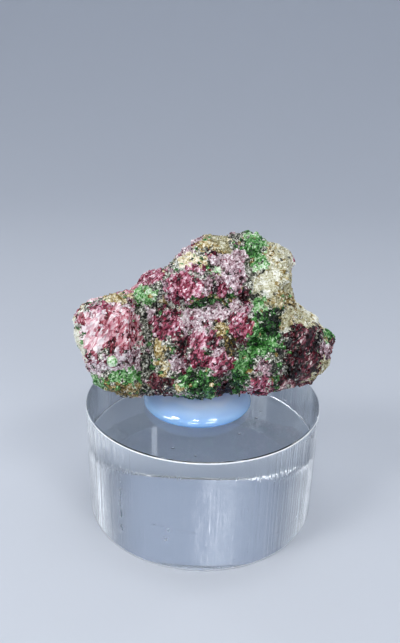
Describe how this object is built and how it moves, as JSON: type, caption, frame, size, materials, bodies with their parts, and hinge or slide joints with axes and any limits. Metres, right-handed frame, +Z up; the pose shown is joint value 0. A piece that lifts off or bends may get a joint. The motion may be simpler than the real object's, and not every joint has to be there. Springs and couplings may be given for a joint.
{
  "type": "mineral specimen on a display block",
  "caption": "Hand specimen of pyrope garnet with chrome diopside, leaning back on an opal glass disc that lies on a clear round acrylic display block.",
  "frame": {"origin": "centre of the acrylic block's underside", "axes": "+Z up along the block's axis; the stone's face leans back and looks towards -Y; +X to the viewer's right"},
  "size_m": [0.0808, 0.0762, 0.092],
  "materials": {
    "garnet_rock": "broken crystalline rock, raspberry garnet and emerald diopside in a buff matrix",
    "opal_glass": "milky blue-white glass, polished",
    "clear_acrylic": "clear, polished, with fine lines round the side"
  },
  "bodies": {
    "root": {"stone": "garnet_rock", "opal_disc": "opal_glass", "acrylic_block": "clear_acrylic"}
  },
  "joints": []
}
